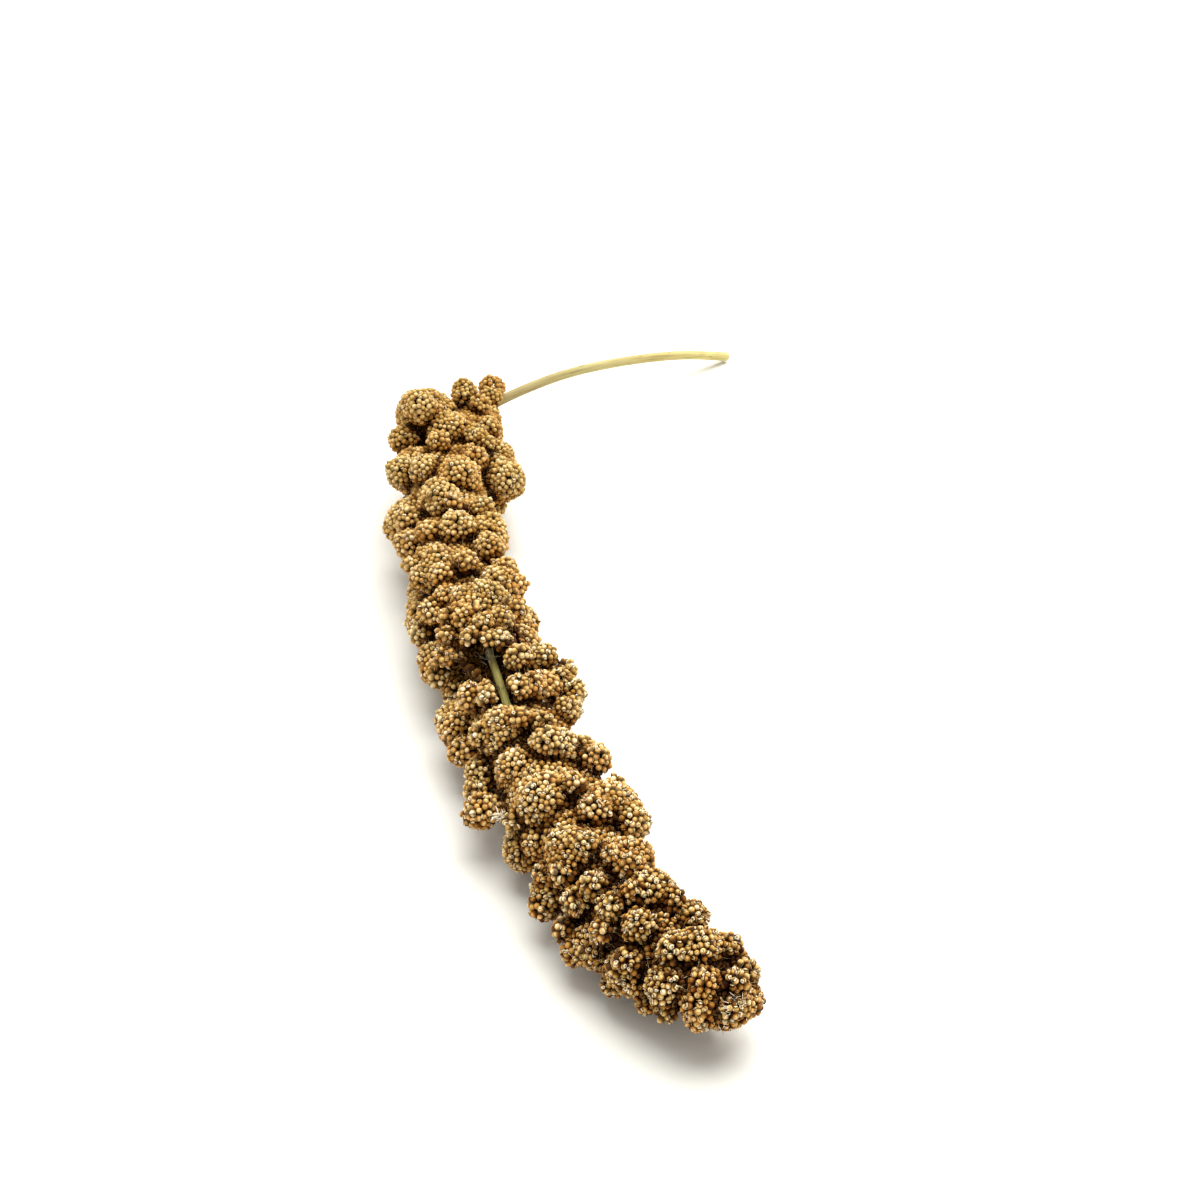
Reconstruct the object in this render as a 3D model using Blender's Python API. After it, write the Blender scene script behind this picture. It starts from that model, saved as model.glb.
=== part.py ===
"""A dried head of foxtail millet, cut with its stem and lying on its side.

The stem runs on through the head as its axis. Short branches stand out all round the axis and lean toward the
tip, each of them a lobe packed with grains. The tip points to -Y, the cut end of the stem to +Y. The head rests on
z = 0 on the flattened undersides of its lowest lobes. Metres, +Z up.
"""

import math
import random

import bmesh
import bpy
import numpy as np
from mathutils import Matrix, Vector

MM = 0.001

# The axis of head and stem, from the tip to the cut end, and the stem's thickness along it, in millimetres.
AXIS = (
    (47.6, -178.8, 13.5),
    (39.1, -170.8, 14),
    (23.1, -153.3, 14.8),
    (5.1, -119.3, 15.3),
    (-5.9, -92.8, 15.8),
    (-14.4, -65.8, 16.8),
    (-21.4, -38.3, 17.6),
    (-28.9, -13.8, 18.3),
    (-32.9, 8.2, 18.5),
    (-36.9, 31.2, 18.5),
    (-37.9, 56.2, 18.5),
    (-35.4, 82.2, 18.5),
    (-30.9, 102.2, 18.2),
    (-22.9, 114.7, 18.2),
    (-3.9, 130.7, 18.5),
    (17.1, 145.2, 16.5),
    (40.1, 165.2, 9),
    (58.1, 178.2, 1.9),
)
HEAD_LENGTH = 312.0
STEM_RADIUS = 1.75
STEM_RADIUS_AT_TIP = 0.8
STEM_START = 22.0
STEM_SIDES = 10
STEM_STATIONS = 46
GAP = 0.3

# How far the lobes reach from the axis, as distance along it from the tip and reach, in millimetres.
OUTLINE = (
    (0, 4.5), (12, 11.5), (25, 14), (40, 16), (80, 17), (110, 18.5), (150, 20), (200, 19.5), (245, 20.5),
    (270, 17.5), (295, 14), (312, 9),
)

# Lobes that show from above: distance from the tip, turn round the axis (0 right, 90 up), half width and how far
# the lobe stands proud of the outline if it does, in millimetres and degrees. The big lobes of the branches come
# first, then the lumps that they fork into, both tip to base.
UPPER_LOBES = (
    (14, 160, 5, 0.5), (22, 85, 6, 1), (23, 165, 5.5, 0.5), (34, 190, 6, 0.5), (43, 70, 6.5, 0.5),
    (46, 200, 6, 1.5), (56, 60, 6.5), (66, 135, 8, -0.5), (66, 195, 6, 1.5), (78, 30, 9, 3),
    (85, 205, 6.5, 1), (87, 120, 8.5, -1), (103, 20, 5.5, 1), (103, 65, 7, -1), (115, 125, 8.5, -1),
    (128, 50, 6.5, -1), (129, 15, 5.5, 1), (133, 195, 7, 1.5), (163, 195, 7, 1), (164, 110, 8, -0.5),
    (168, 85, 8.5, -0.5), (179, 45, 8, -1), (184, 190, 7), (190, 130, 8, -1), (206, 90, 6.5, -0.5),
    (207, 45, 8, -0.5), (223, 100, 6.5, -1), (233, 180, 8, 1), (239, 75, 8, -0.5), (257, 165, 9, 2),
    (262, -5, 8.5, 2.5), (268, 60, 6, -0.5), (269, 105, 8, 2), (282, 145, 10, 10.5),
    (7, 140, 3), (10, 85, 3.5), (13, 185, 4.5), (15, 125, 4.5), (18, 40, 3.5, 1.5), (21, 60, 4),
    (21, 150, 3.5), (21, 200, 3), (25, 110, 4.5), (27, 215, 3), (31, 195, 4.5), (32, 40, 4.5, 0.5),
    (32, 160, 3.5), (35, 120, 4.5), (36, 215, 3, 1.5), (37, 60, 3), (41, 155, 3.5), (42, 80, 5),
    (42, 100, 3), (42, 200, 4.5), (43, 130, 4), (47, 200, 3.5, 3.5), (51, 80, 4), (51, 130, 4),
    (53, 160, 4), (53, 195, 3.5, 2), (55, 90, 3.5), (61, 150, 4), (63, 110, 4), (64, 200, 4, 3.5),
    (67, 170, 3.5), (68, 130, 4.5), (70, 30, 5, 3), (74, 70, 5), (83, 80, 3), (83, 200, 4.5),
    (84, 25, 4, 2.5), (85, 125, 7), (85, 160, 3), (97, 30, 4.5, 2.5), (98, 185, 5, 5), (102, 80, 5),
    (107, 190, 4.5, 2), (108, 80, 3), (111, 100, 3.5), (111, 180, 4.5), (114, 120, 5), (115, 145, 3.5),
    (120, 30, 4, 0.5), (124, 90, 4), (124, 120, 3), (124, 195, 4.5, 1.5), (125, 70, 4), (129, 20, 4, 3),
    (130, 140, 4), (135, 20, 5, 1), (137, 75, 4), (137, 190, 4.5, 1), (139, 20, 3, 2.5), (142, 40, 4.5),
    (144, 90, 3.5), (145, 100, 3.5), (149, 115, 3.5), (150, 150, 3), (151, 175, 4), (153, 100, 4.5),
    (155, 80, 4), (157, 140, 3), (159, 60, 3), (160, 115, 5), (163, 130, 3), (165, 185, 4, 0.5),
    (168, 85, 5), (168, 110, 3.5), (174, 150, 4), (175, 70, 3.5), (175, 180, 4, 0.5), (178, 35, 4),
    (183, 120, 4), (184, 90, 3.5), (186, 40, 4.5), (189, 145, 4), (192, 120, 4.5), (196, 55, 5),
    (198, 155, 3), (206, 90, 5), (207, 125, 4), (210, 45, 5.5), (215, 165, 5), (216, 90, 3), (217, 55, 4),
    (223, 150, 4.5), (226, 105, 5.5), (237, 75, 5.5), (242, 120, 5), (246, 20, 6.5, 6), (248, 150, 5.5, 3),
    (249, 55, 4.5), (257, 105, 4), (264, 45, 3), (266, 150, 5.5, 7), (268, 85, 4), (269, 120, 6, 12),
    (280, 40, 4), (283, 140, 5, 1), (291, 70, 4), (295, 110, 4), (298, 110, 4.5, 3), (306, 65, 4),
    (313, 110, 4.5, 1.5),
)

# Lobes of the underside and back fill a golden-angle spiral wherever the listed ones leave room, and lower ones
# fill the upper side.
SPIRAL_TURN = 137.5
SPIRAL_STEP = 0.6
FILL_SIZE = (4.5, 7.0)
FILL_ROOM = 0.7
FILL_SEED = 11
FILL_START = 10.0
FILL_END = 306.0
FILL_FIRST_TURN = 200.0
FILL_DIP = 2.0
UPPER_TURNS = (-10.0, 205.0)
UPPER_DIP = 2.5
TIP_TAPER = (0.7, 24.0)

LOBE_STRETCH = 1.15
LEAN_TO_TIP = 0.45
FLOOR_SINK = 1.6
GRAIN_PITCH = 4.6
GRAIN_RISE = 1.0
FEWEST_POINTS = 10
CORE_SHARE = 0.64
CORE_START = 12.0
CORE_END = 306.0
CORE_STEP = 12.0
CORE_SIDES = 12
HEAD_TRIANGLES = 10400

# The gap between two branches where the axis shows: its place along the axis, turn and half sizes.
WINDOW_PLACE = 149.0
WINDOW_TURN = 105.0
WINDOW_RISE = 7.0
WINDOW_HALF = (13.0, 7.0, 10.0)


def clear_scene():
    """Removes every object of the open file."""
    for obj in list(bpy.data.objects):
        bpy.data.objects.remove(obj, do_unlink=True)


def material(name, colour, roughness):
    """A plain surface with one colour and roughness."""
    mat = bpy.data.materials.new(name)
    mat.use_nodes = True
    shader = mat.node_tree.nodes["Principled BSDF"]
    shader.inputs["Base Color"].default_value = (*colour, 1.0)
    shader.inputs["Roughness"].default_value = roughness
    shader.inputs["Metallic"].default_value = 0.0
    return mat


def smooth_curve(points, steps=24):
    """Points of a Catmull-Rom curve through the given ones, and the length along it at each."""
    p = np.array(points, float)
    p = np.vstack([2 * p[0] - p[1], p, 2 * p[-1] - p[-2]])
    t = np.linspace(0, 1, steps, endpoint=False)[:, None]
    runs = []
    for a, b, c, d in zip(p, p[1:], p[2:], p[3:]):
        bend = (2 * a - 5 * b + 4 * c - d) * t**2 + (3 * b - a - 3 * c + d) * t**3
        runs.append(0.5 * (2 * b + (c - a) * t + bend))
    curve = np.vstack(runs + [p[-2][None]])
    length = np.concatenate([[0], np.cumsum(np.linalg.norm(np.diff(curve, axis=0), axis=1))])
    return curve, length


CURVE, LENGTH = smooth_curve(AXIS)
STEM_END = float(LENGTH[-1])


def axis_point(s):
    """The point of the axis at a distance from the tip, in millimetres."""
    return Vector([float(np.interp(s, LENGTH, CURVE[:, k])) for k in range(3)])


def axis_frame(s):
    """Directions at a distance from the tip: along the axis to the base, to the right, and up."""
    along = (axis_point(s + 1) - axis_point(s - 1)).normalized()
    right = along.cross(Vector((0, 0, 1))).normalized()
    return along, right, right.cross(along)


def outward(s, turn):
    """The direction that leaves the axis at a turn round it."""
    _, right, up = axis_frame(s)
    return right * math.cos(math.radians(turn)) + up * math.sin(math.radians(turn))


def outline(s):
    """How far the head reaches from its axis at a distance from the tip."""
    return float(np.interp(s, [q[0] for q in OUTLINE], [q[1] for q in OUTLINE]))


class Lobe:
    """One branch of the head: a stretched ball of grains, rooted at the axis."""

    def __init__(self, s, turn, size, proud=0.0):
        self.size = size
        out = outward(s, turn)
        base = axis_point(s)
        reach = outline(s) + proud
        if out.z < 0:
            reach = min(reach, (base.z + FLOOR_SINK) / -out.z)
        self.direction = (out - axis_frame(s)[0] * LEAN_TO_TIP).normalized()
        lean = self.direction.dot(out)
        half_height = size * math.sqrt(1 - lean**2 + (LOBE_STRETCH * lean) ** 2)
        self.centre = base + out * (reach - half_height)


def window_frame():
    """Where the gap that bares the axis is, and its directions: along the axis, across and outward."""
    along = axis_frame(WINDOW_PLACE)[0]
    out = outward(WINDOW_PLACE, WINDOW_TURN)
    out = (out - along * out.dot(along)).normalized()
    return axis_point(WINDOW_PLACE) + out * WINDOW_RISE, Matrix((along, out.cross(along), out)).transposed()


def clear_of_window(lobe):
    """True where a lobe leaves the gap open."""
    centre, turn = window_frame()
    offset = turn.transposed() @ (lobe.centre - centre)
    return sum((offset[k] / (WINDOW_HALF[k] + lobe.size)) ** 2 for k in range(3)) > 1


def all_lobes():
    """The listed upper lobes, then a seeded spiral of lobes in the room that they leave."""
    lobes = [Lobe(*row) for row in UPPER_LOBES]
    draw = random.Random(FILL_SEED)
    place, turn = FILL_START, FILL_FIRST_TURN
    while place < FILL_END:
        size = draw.uniform(*FILL_SIZE) * min(1.0, TIP_TAPER[0] + (1 - TIP_TAPER[0]) * place / TIP_TAPER[1])
        upper = UPPER_TURNS[0] < (turn + 90) % 360 - 90 < UPPER_TURNS[1]
        lobe = Lobe(place, turn, size, -draw.uniform(0, FILL_DIP) - upper * UPPER_DIP)
        gaps = [(lobe.centre - other.centre).length / (lobe.size + other.size) for other in lobes]
        if min(gaps) > FILL_ROOM and clear_of_window(lobe):
            lobes.append(lobe)
        place += SPIRAL_STEP
        turn += SPIRAL_TURN
    return lobes


def grainy_ball(bm, lobe, number):
    """Adds a lobe: a hull of evenly spread points, each raised as a six-sided grain over its neighbours."""
    radius = lobe.size
    count = max(FEWEST_POINTS, round(4 * math.pi * radius**2 / (0.87 * GRAIN_PITCH**2)))
    verts = []
    for i in range(count):
        height = 1 - (2 * i + 1) / count
        angle = math.radians(SPIRAL_TURN) * i + number
        ring = math.sqrt(1 - height * height)
        verts.append(bm.verts.new((ring * math.cos(angle), ring * math.sin(angle), height)))
    hull = bmesh.ops.convex_hull(bm, input=verts)
    faces = [g for g in hull["geom"] if isinstance(g, bmesh.types.BMFace)]
    edges = [g for g in hull["geom"] if isinstance(g, bmesh.types.BMEdge)]
    valleys = bmesh.ops.poke(bm, faces=faces)["verts"]
    bmesh.ops.rotate_edges(bm, edges=edges, use_ccw=False)
    for vert in verts:
        vert.co = vert.co.normalized() * radius
    for vert in valleys:
        vert.co = vert.co.normalized() * (radius - GRAIN_RISE)
    turn = lobe.direction.to_track_quat("Z", "X").to_matrix().to_4x4()
    place = Matrix.Translation(lobe.centre) @ turn @ Matrix.Diagonal((1, 1, LOBE_STRETCH, 1))
    bmesh.ops.transform(bm, matrix=Matrix.Scale(MM, 4) @ place, verts=verts + valleys)


def mesh_object(name, bm, collection=None):
    """Makes an object of a bmesh, in the scene or in a collection."""
    bmesh.ops.recalc_face_normals(bm, faces=bm.faces[:])
    mesh = bpy.data.meshes.new(name)
    bm.to_mesh(mesh)
    bm.free()
    obj = bpy.data.objects.new(name, mesh)
    (collection or bpy.context.scene.collection).objects.link(obj)
    return obj


def tube(bm, stations, sides):
    """Adds a closed tube through (distance along the axis, radius) stations, in millimetres."""
    rings = []
    for s, radius in stations:
        _, right, up = axis_frame(s)
        ring = []
        for k in range(sides):
            angle = 2 * math.pi * k / sides
            point = axis_point(s) + (right * math.cos(angle) + up * math.sin(angle)) * radius
            ring.append(bm.verts.new(point * MM))
        rings.append(ring)
    for ring in (rings[0], rings[-1]):
        bm.faces.new(ring)
    for a, b in zip(rings, rings[1:]):
        for k in range(sides):
            bm.faces.new((a[k], a[(k + 1) % sides], b[(k + 1) % sides], b[k]))


def stem_radius(s):
    """The stem's radius at a distance from the tip, thinner toward the tip."""
    return float(np.interp(s, (STEM_START, HEAD_LENGTH), (STEM_RADIUS_AT_TIP, STEM_RADIUS)))


def apply_modifier(obj, kind, **settings):
    """Gives an object one modifier and applies it."""
    mod = obj.modifiers.new(kind.lower(), kind)
    for name, value in settings.items():
        setattr(mod, name, value)
    bpy.context.view_layer.objects.active = obj
    bpy.ops.object.modifier_apply(modifier=mod.name)


def combine(obj, operation, collection):
    """Joins a collection's objects to an object, or cuts them out of it, and removes them."""
    settings = {"operation": operation, "solver": "MANIFOLD", "operand_type": "COLLECTION"}
    apply_modifier(obj, "BOOLEAN", collection=collection, **settings)
    for other in list(collection.objects):
        bpy.data.objects.remove(other, do_unlink=True)
    bpy.data.collections.remove(collection)


def new_collection(name):
    """An empty collection in the scene."""
    collection = bpy.data.collections.new(name)
    bpy.context.scene.collection.children.link(collection)
    return collection


def keep_largest_body(obj):
    """Drops loose scraps and fills sealed hollows: only the shell with the most faces stays."""
    bm = bmesh.new()
    bm.from_mesh(obj.data)
    left = set(bm.faces)
    bodies = []
    while left:
        body, front = set(), [left.pop()]
        while front:
            face = front.pop()
            body.add(face)
            near = {other for edge in face.edges for other in edge.link_faces} & left
            left -= near
            front.extend(near)
        bodies.append(body)
    bodies.sort(key=len)
    scraps = [face for body in bodies[:-1] for face in body]
    bmesh.ops.delete(bm, geom=scraps, context="FACES")
    bm.to_mesh(obj.data)
    bm.free()


def make_stalk():
    """The stem and, inside the head, the axis that it runs on as."""
    bm = bmesh.new()
    steps = np.linspace(STEM_START, STEM_END, STEM_STATIONS)
    tube(bm, [(s, stem_radius(s)) for s in steps], STEM_SIDES)
    obj = mesh_object("stalk", bm)
    obj.data.materials.append(material("straw", (0.62, 0.50, 0.20), 0.55))
    return obj


def add_lobes(collection):
    """Makes one grain-covered ball for each lobe."""
    for number, lobe in enumerate(all_lobes()):
        bm = bmesh.new()
        grainy_ball(bm, lobe, number)
        mesh_object(f"lobe_{number}", bm, collection)


def add_cutters(collection):
    """Makes what is cut from the head: the bore of the axis, and all below the floor."""
    bm = bmesh.new()
    steps = np.linspace(STEM_START - GAP, STEM_END, STEM_STATIONS)
    tube(bm, [(s, stem_radius(s) + GAP) for s in steps], STEM_SIDES)
    mesh_object("bore", bm, collection)

    bm = bmesh.new()
    bmesh.ops.create_cube(bm, size=1.0)
    bmesh.ops.translate(bm, vec=(0, 0, -0.5), verts=bm.verts)
    mesh_object("below_floor", bm, collection)
    for obj in collection.objects:
        obj.hide_render = True
        obj.display_type = "WIRE"


def add_window(collection):
    """Makes what is cut from the core where a gap between two branches bares the axis."""
    bm = bmesh.new()
    bmesh.ops.create_icosphere(bm, subdivisions=2, radius=1.0)
    centre, turn = window_frame()
    place = Matrix.Translation(centre) @ turn.to_4x4() @ Matrix.Diagonal((*WINDOW_HALF, 1))
    bmesh.ops.transform(bm, matrix=Matrix.Scale(MM, 4) @ place, verts=bm.verts)
    mesh_object("window", bm, collection)


def make_head():
    """The lobes and the slim core that carries them, one body, with a bore for the axis."""
    bm = bmesh.new()
    stations = [(s, CORE_SHARE * outline(s)) for s in np.arange(CORE_START, CORE_END, CORE_STEP)]
    tube(bm, stations, CORE_SIDES)
    head = mesh_object("grain_head", bm)
    window = new_collection("window")
    add_window(window)
    combine(head, "DIFFERENCE", window)
    lobes = new_collection("lobes")
    add_lobes(lobes)
    combine(head, "UNION", lobes)
    keep_largest_body(head)
    apply_modifier(head, "TRIANGULATE")
    apply_modifier(head, "DECIMATE", ratio=min(1.0, HEAD_TRIANGLES / len(head.data.polygons)))
    cutters = new_collection("cutters")
    add_cutters(cutters)
    combine(head, "DIFFERENCE", cutters)
    keep_largest_body(head)
    apply_modifier(head, "TRIANGULATE")
    head.data.materials.clear()
    head.data.materials.append(material("ripe_grain", (0.42, 0.25, 0.09), 0.7))
    return head


def main():
    clear_scene()
    make_stalk()
    make_head()


if __name__ == "__main__":
    main()
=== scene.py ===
# %% [markdown]
# # A dried head of foxtail millet
#
# A foxtail millet head is a long spike. Its stem runs on through it as an axis, short branches stand out
# all round that axis, and each branch ends in a lobe packed with round grains. This lesson dresses the
# solid model of such a head, cut with its stem and lying on its side: more than eighteen thousand grains,
# their papery husks and bristles, and a straw stem. It works in millimetres and turns them into metres
# where a mesh is made.

import math
import random
from collections import namedtuple

import bmesh
import bpy
import numpy as np
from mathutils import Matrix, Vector, kdtree


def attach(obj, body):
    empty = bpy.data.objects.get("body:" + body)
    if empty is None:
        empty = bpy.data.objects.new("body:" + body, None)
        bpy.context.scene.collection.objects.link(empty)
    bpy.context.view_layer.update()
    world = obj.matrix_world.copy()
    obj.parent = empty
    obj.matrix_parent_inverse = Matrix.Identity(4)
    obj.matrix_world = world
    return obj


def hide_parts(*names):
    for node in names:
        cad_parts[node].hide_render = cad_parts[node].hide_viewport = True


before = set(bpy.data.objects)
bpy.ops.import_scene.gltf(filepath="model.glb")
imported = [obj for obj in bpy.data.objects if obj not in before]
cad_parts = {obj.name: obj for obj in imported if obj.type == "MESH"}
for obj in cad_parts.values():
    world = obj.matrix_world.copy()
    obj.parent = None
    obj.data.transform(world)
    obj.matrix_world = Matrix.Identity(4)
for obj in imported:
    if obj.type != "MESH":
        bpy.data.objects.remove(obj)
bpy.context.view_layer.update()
MM = 0.001
print("solids:", sorted(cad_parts))

# %% [markdown]
# ## The axis
#
# Everything is placed along the axis, by the distance from the tip. The axis is a smooth curve through
# given points, from the tip through the head to the cut end of the stem. The same points shape the
# solid stalk, so whatever is placed by them fits it.

# %% A smooth curve through the points of the axis
AXIS = (
    (47.6, -178.8, 13.5), (39.1, -170.8, 14), (23.1, -153.3, 14.8), (5.1, -119.3, 15.3), (-5.9, -92.8, 15.8),
    (-14.4, -65.8, 16.8), (-21.4, -38.3, 17.6), (-28.9, -13.8, 18.3), (-32.9, 8.2, 18.5), (-36.9, 31.2, 18.5),
    (-37.9, 56.2, 18.5), (-35.4, 82.2, 18.5), (-30.9, 102.2, 18.2), (-22.9, 114.7, 18.2), (-3.9, 130.7, 18.5),
    (17.1, 145.2, 16.5), (40.1, 165.2, 9), (58.1, 178.2, 1.9),
)
HEAD_LENGTH = 312.0


def smooth_curve(points, steps=24):
    """Points of a Catmull-Rom curve through the given ones, and the length along it at each."""
    p = np.array(points, float)
    p = np.vstack([2 * p[0] - p[1], p, 2 * p[-1] - p[-2]])
    t = np.linspace(0, 1, steps, endpoint=False)[:, None]
    runs = []
    for a, b, c, d in zip(p, p[1:], p[2:], p[3:]):
        bend = (2 * a - 5 * b + 4 * c - d) * t**2 + (3 * b - a - 3 * c + d) * t**3
        runs.append(0.5 * (2 * b + (c - a) * t + bend))
    line = np.vstack(runs + [p[-2][None]])
    return line, np.concatenate([[0], np.cumsum(np.linalg.norm(np.diff(line, axis=0), axis=1))])


CURVE, LENGTH = smooth_curve(AXIS)
STEM_END = float(LENGTH[-1])


def unit(vectors):
    """Vectors at length 1."""
    return vectors / np.linalg.norm(vectors, axis=-1, keepdims=True)


def axis_point(s):
    """The point of the axis at a distance from the tip."""
    return np.stack([np.interp(s, LENGTH, CURVE[:, k]) for k in range(3)], -1)


def axis_frame(s):
    """Directions at a distance from the tip: along the axis to the base, to the right, and up."""
    along = unit(axis_point(s + 1) - axis_point(s - 1))
    right = unit(np.cross(along, (0, 0, 1)))
    return along, right, np.cross(right, along)


def outward(s, turn):
    """The direction that leaves the axis at a turn round it, in degrees: 0 is right, 90 up."""
    _, right, up = axis_frame(s)
    return right * math.cos(math.radians(turn)) + up * math.sin(math.radians(turn))


print(f"axis {STEM_END:.0f} mm long, {STEM_END - HEAD_LENGTH:.0f} mm of it bare stem")

# %% [markdown]
# ## The lobes
#
# The head looks like a string of clumps because each branch carries its own ball of grains. A smooth
# spindle with noise on it would never show the dark clefts between them, so every branch is placed by
# itself. Those that show from above are listed one by one: distance from the tip, turn round the axis,
# half width, and how far the end stands proud of the outline. The solid head is built from the same rows.

# %% The lobes that show from above
OUTLINE = (
    (0, 4.5), (12, 11.5), (25, 14), (40, 16), (80, 17), (110, 18.5), (150, 20), (200, 19.5), (245, 20.5),
    (270, 17.5), (295, 14), (312, 9),
)
UPPER_LOBES = (
    (14, 160, 5, 0.5), (22, 85, 6, 1), (23, 165, 5.5, 0.5), (34, 190, 6, 0.5), (43, 70, 6.5, 0.5),
    (46, 200, 6, 1.5), (56, 60, 6.5), (66, 135, 8, -0.5), (66, 195, 6, 1.5), (78, 30, 9, 3),
    (85, 205, 6.5, 1), (87, 120, 8.5, -1), (103, 20, 5.5, 1), (103, 65, 7, -1), (115, 125, 8.5, -1),
    (128, 50, 6.5, -1), (129, 15, 5.5, 1), (133, 195, 7, 1.5), (163, 195, 7, 1), (164, 110, 8, -0.5),
    (168, 85, 8.5, -0.5), (179, 45, 8, -1), (184, 190, 7), (190, 130, 8, -1), (206, 90, 6.5, -0.5),
    (207, 45, 8, -0.5), (223, 100, 6.5, -1), (233, 180, 8, 1), (239, 75, 8, -0.5), (257, 165, 9, 2),
    (262, -5, 8.5, 2.5), (268, 60, 6, -0.5), (269, 105, 8, 2), (282, 145, 10, 10.5),
    (7, 140, 3), (10, 85, 3.5), (13, 185, 4.5), (15, 125, 4.5), (18, 40, 3.5, 1.5), (21, 60, 4),
    (21, 150, 3.5), (21, 200, 3), (25, 110, 4.5), (27, 215, 3), (31, 195, 4.5), (32, 40, 4.5, 0.5),
    (32, 160, 3.5), (35, 120, 4.5), (36, 215, 3, 1.5), (37, 60, 3), (41, 155, 3.5), (42, 80, 5),
    (42, 100, 3), (42, 200, 4.5), (43, 130, 4), (47, 200, 3.5, 3.5), (51, 80, 4), (51, 130, 4),
    (53, 160, 4), (53, 195, 3.5, 2), (55, 90, 3.5), (61, 150, 4), (63, 110, 4), (64, 200, 4, 3.5),
    (67, 170, 3.5), (68, 130, 4.5), (70, 30, 5, 3), (74, 70, 5), (83, 80, 3), (83, 200, 4.5),
    (84, 25, 4, 2.5), (85, 125, 7), (85, 160, 3), (97, 30, 4.5, 2.5), (98, 185, 5, 5), (102, 80, 5),
    (107, 190, 4.5, 2), (108, 80, 3), (111, 100, 3.5), (111, 180, 4.5), (114, 120, 5), (115, 145, 3.5),
    (120, 30, 4, 0.5), (124, 90, 4), (124, 120, 3), (124, 195, 4.5, 1.5), (125, 70, 4), (129, 20, 4, 3),
    (130, 140, 4), (135, 20, 5, 1), (137, 75, 4), (137, 190, 4.5, 1), (139, 20, 3, 2.5), (142, 40, 4.5),
    (144, 90, 3.5), (145, 100, 3.5), (149, 115, 3.5), (150, 150, 3), (151, 175, 4), (153, 100, 4.5),
    (155, 80, 4), (157, 140, 3), (159, 60, 3), (160, 115, 5), (163, 130, 3), (165, 185, 4, 0.5),
    (168, 85, 5), (168, 110, 3.5), (174, 150, 4), (175, 70, 3.5), (175, 180, 4, 0.5), (178, 35, 4),
    (183, 120, 4), (184, 90, 3.5), (186, 40, 4.5), (189, 145, 4), (192, 120, 4.5), (196, 55, 5),
    (198, 155, 3), (206, 90, 5), (207, 125, 4), (210, 45, 5.5), (215, 165, 5), (216, 90, 3), (217, 55, 4),
    (223, 150, 4.5), (226, 105, 5.5), (237, 75, 5.5), (242, 120, 5), (246, 20, 6.5, 6), (248, 150, 5.5, 3),
    (249, 55, 4.5), (257, 105, 4), (264, 45, 3), (266, 150, 5.5, 7), (268, 85, 4), (269, 120, 6, 12),
    (280, 40, 4), (283, 140, 5, 1), (291, 70, 4), (295, 110, 4), (298, 110, 4.5, 3), (306, 65, 4),
    (313, 110, 4.5, 1.5),
)
LOBE_STRETCH = 1.15
LEAN_TO_TIP = 0.45
FLOOR_SINK = 1.6
Lobe = namedtuple("Lobe", "centre direction size")


def outline(s):
    """How far the head reaches from its axis at a distance from the tip."""
    return float(np.interp(s, [q[0] for q in OUTLINE], [q[1] for q in OUTLINE]))


def lobe_at(s, turn, size, proud=0.0):
    """A stretched ball at the end of a branch, which leans to the tip and may stand proud of the outline."""
    out = outward(s, turn)
    base = axis_point(s)
    reach = outline(s) + proud
    if out[2] < 0:
        reach = min(reach, (base[2] + FLOOR_SINK) / -out[2])
    direction = unit(out - axis_frame(s)[0] * LEAN_TO_TIP)
    lean = direction @ out
    half_height = size * math.sqrt(1 - lean**2 + (LOBE_STRETCH * lean) ** 2)
    return Lobe(base + out * (reach - half_height), direction, size)


print(len(UPPER_LOBES), "lobes set by hand")

# %% [markdown]
# ## The gap
#
# In the middle of the head the branches part, and the straw axis shows at the bottom of a gap. A narrow
# cleft runs from there toward the tip. Each is a stretched ball of empty space, kept free of lobes and
# grains.

# %% The gap that bares the axis, and its cleft
GAP_TURN = 105.0
WINDOW_PLACE = 149.0
WINDOW_RISE = 7.0
WINDOW_HALF = np.array((13.0, 7.0, 10.0))
CLEFT_PLACE = 131.5
CLEFT_RISE = 8.0
CLEFT_SLOPE = math.radians(34.0)
CLEFT_HALF = np.array((17.0, 2.8, 5.2))
Gap = namedtuple("Gap", "centre turn half")


def window():
    """The gap itself, with its directions: along the axis, across and outward."""
    along = axis_frame(WINDOW_PLACE)[0]
    out = outward(WINDOW_PLACE, GAP_TURN)
    out = unit(out - along * (out @ along))
    centre = axis_point(WINDOW_PLACE) + out * WINDOW_RISE
    return Gap(centre, np.stack([along, np.cross(out, along), out], 1), WINDOW_HALF)


def cleft():
    """The cleft, with its directions: up it, across it and over it."""
    along = axis_frame(CLEFT_PLACE)[0]
    out = outward(CLEFT_PLACE, GAP_TURN)
    way = unit(out * math.sin(CLEFT_SLOPE) - along * math.cos(CLEFT_SLOPE))
    across = unit(np.cross(along, out))
    centre = axis_point(CLEFT_PLACE) + out * CLEFT_RISE
    return Gap(centre, np.stack([way, across, np.cross(way, across)], 1), CLEFT_HALF)


def in_gap(points, gap, margin):
    """True for points in a gap, widened by a margin."""
    return ((((points - gap.centre) @ gap.turn) / (gap.half + margin)) ** 2).sum(-1) < 1


WINDOW, CLEFT = window(), cleft()


def in_gaps(points, margin):
    """True for points in the window or the cleft."""
    return in_gap(points, WINDOW, margin) | in_gap(points, CLEFT, margin)


print("window and cleft at", WINDOW.centre.round(1), CLEFT.centre.round(1), "mm")

# %% [markdown]
# ## The lobes of the underside
#
# The rest follow the spiral that plants use, 137.5 degrees from one to the next, wherever there is room.
# The draws are seeded, the same for the solid head. A few fillers last round off the outline at the tip
# and at the base.

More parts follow.
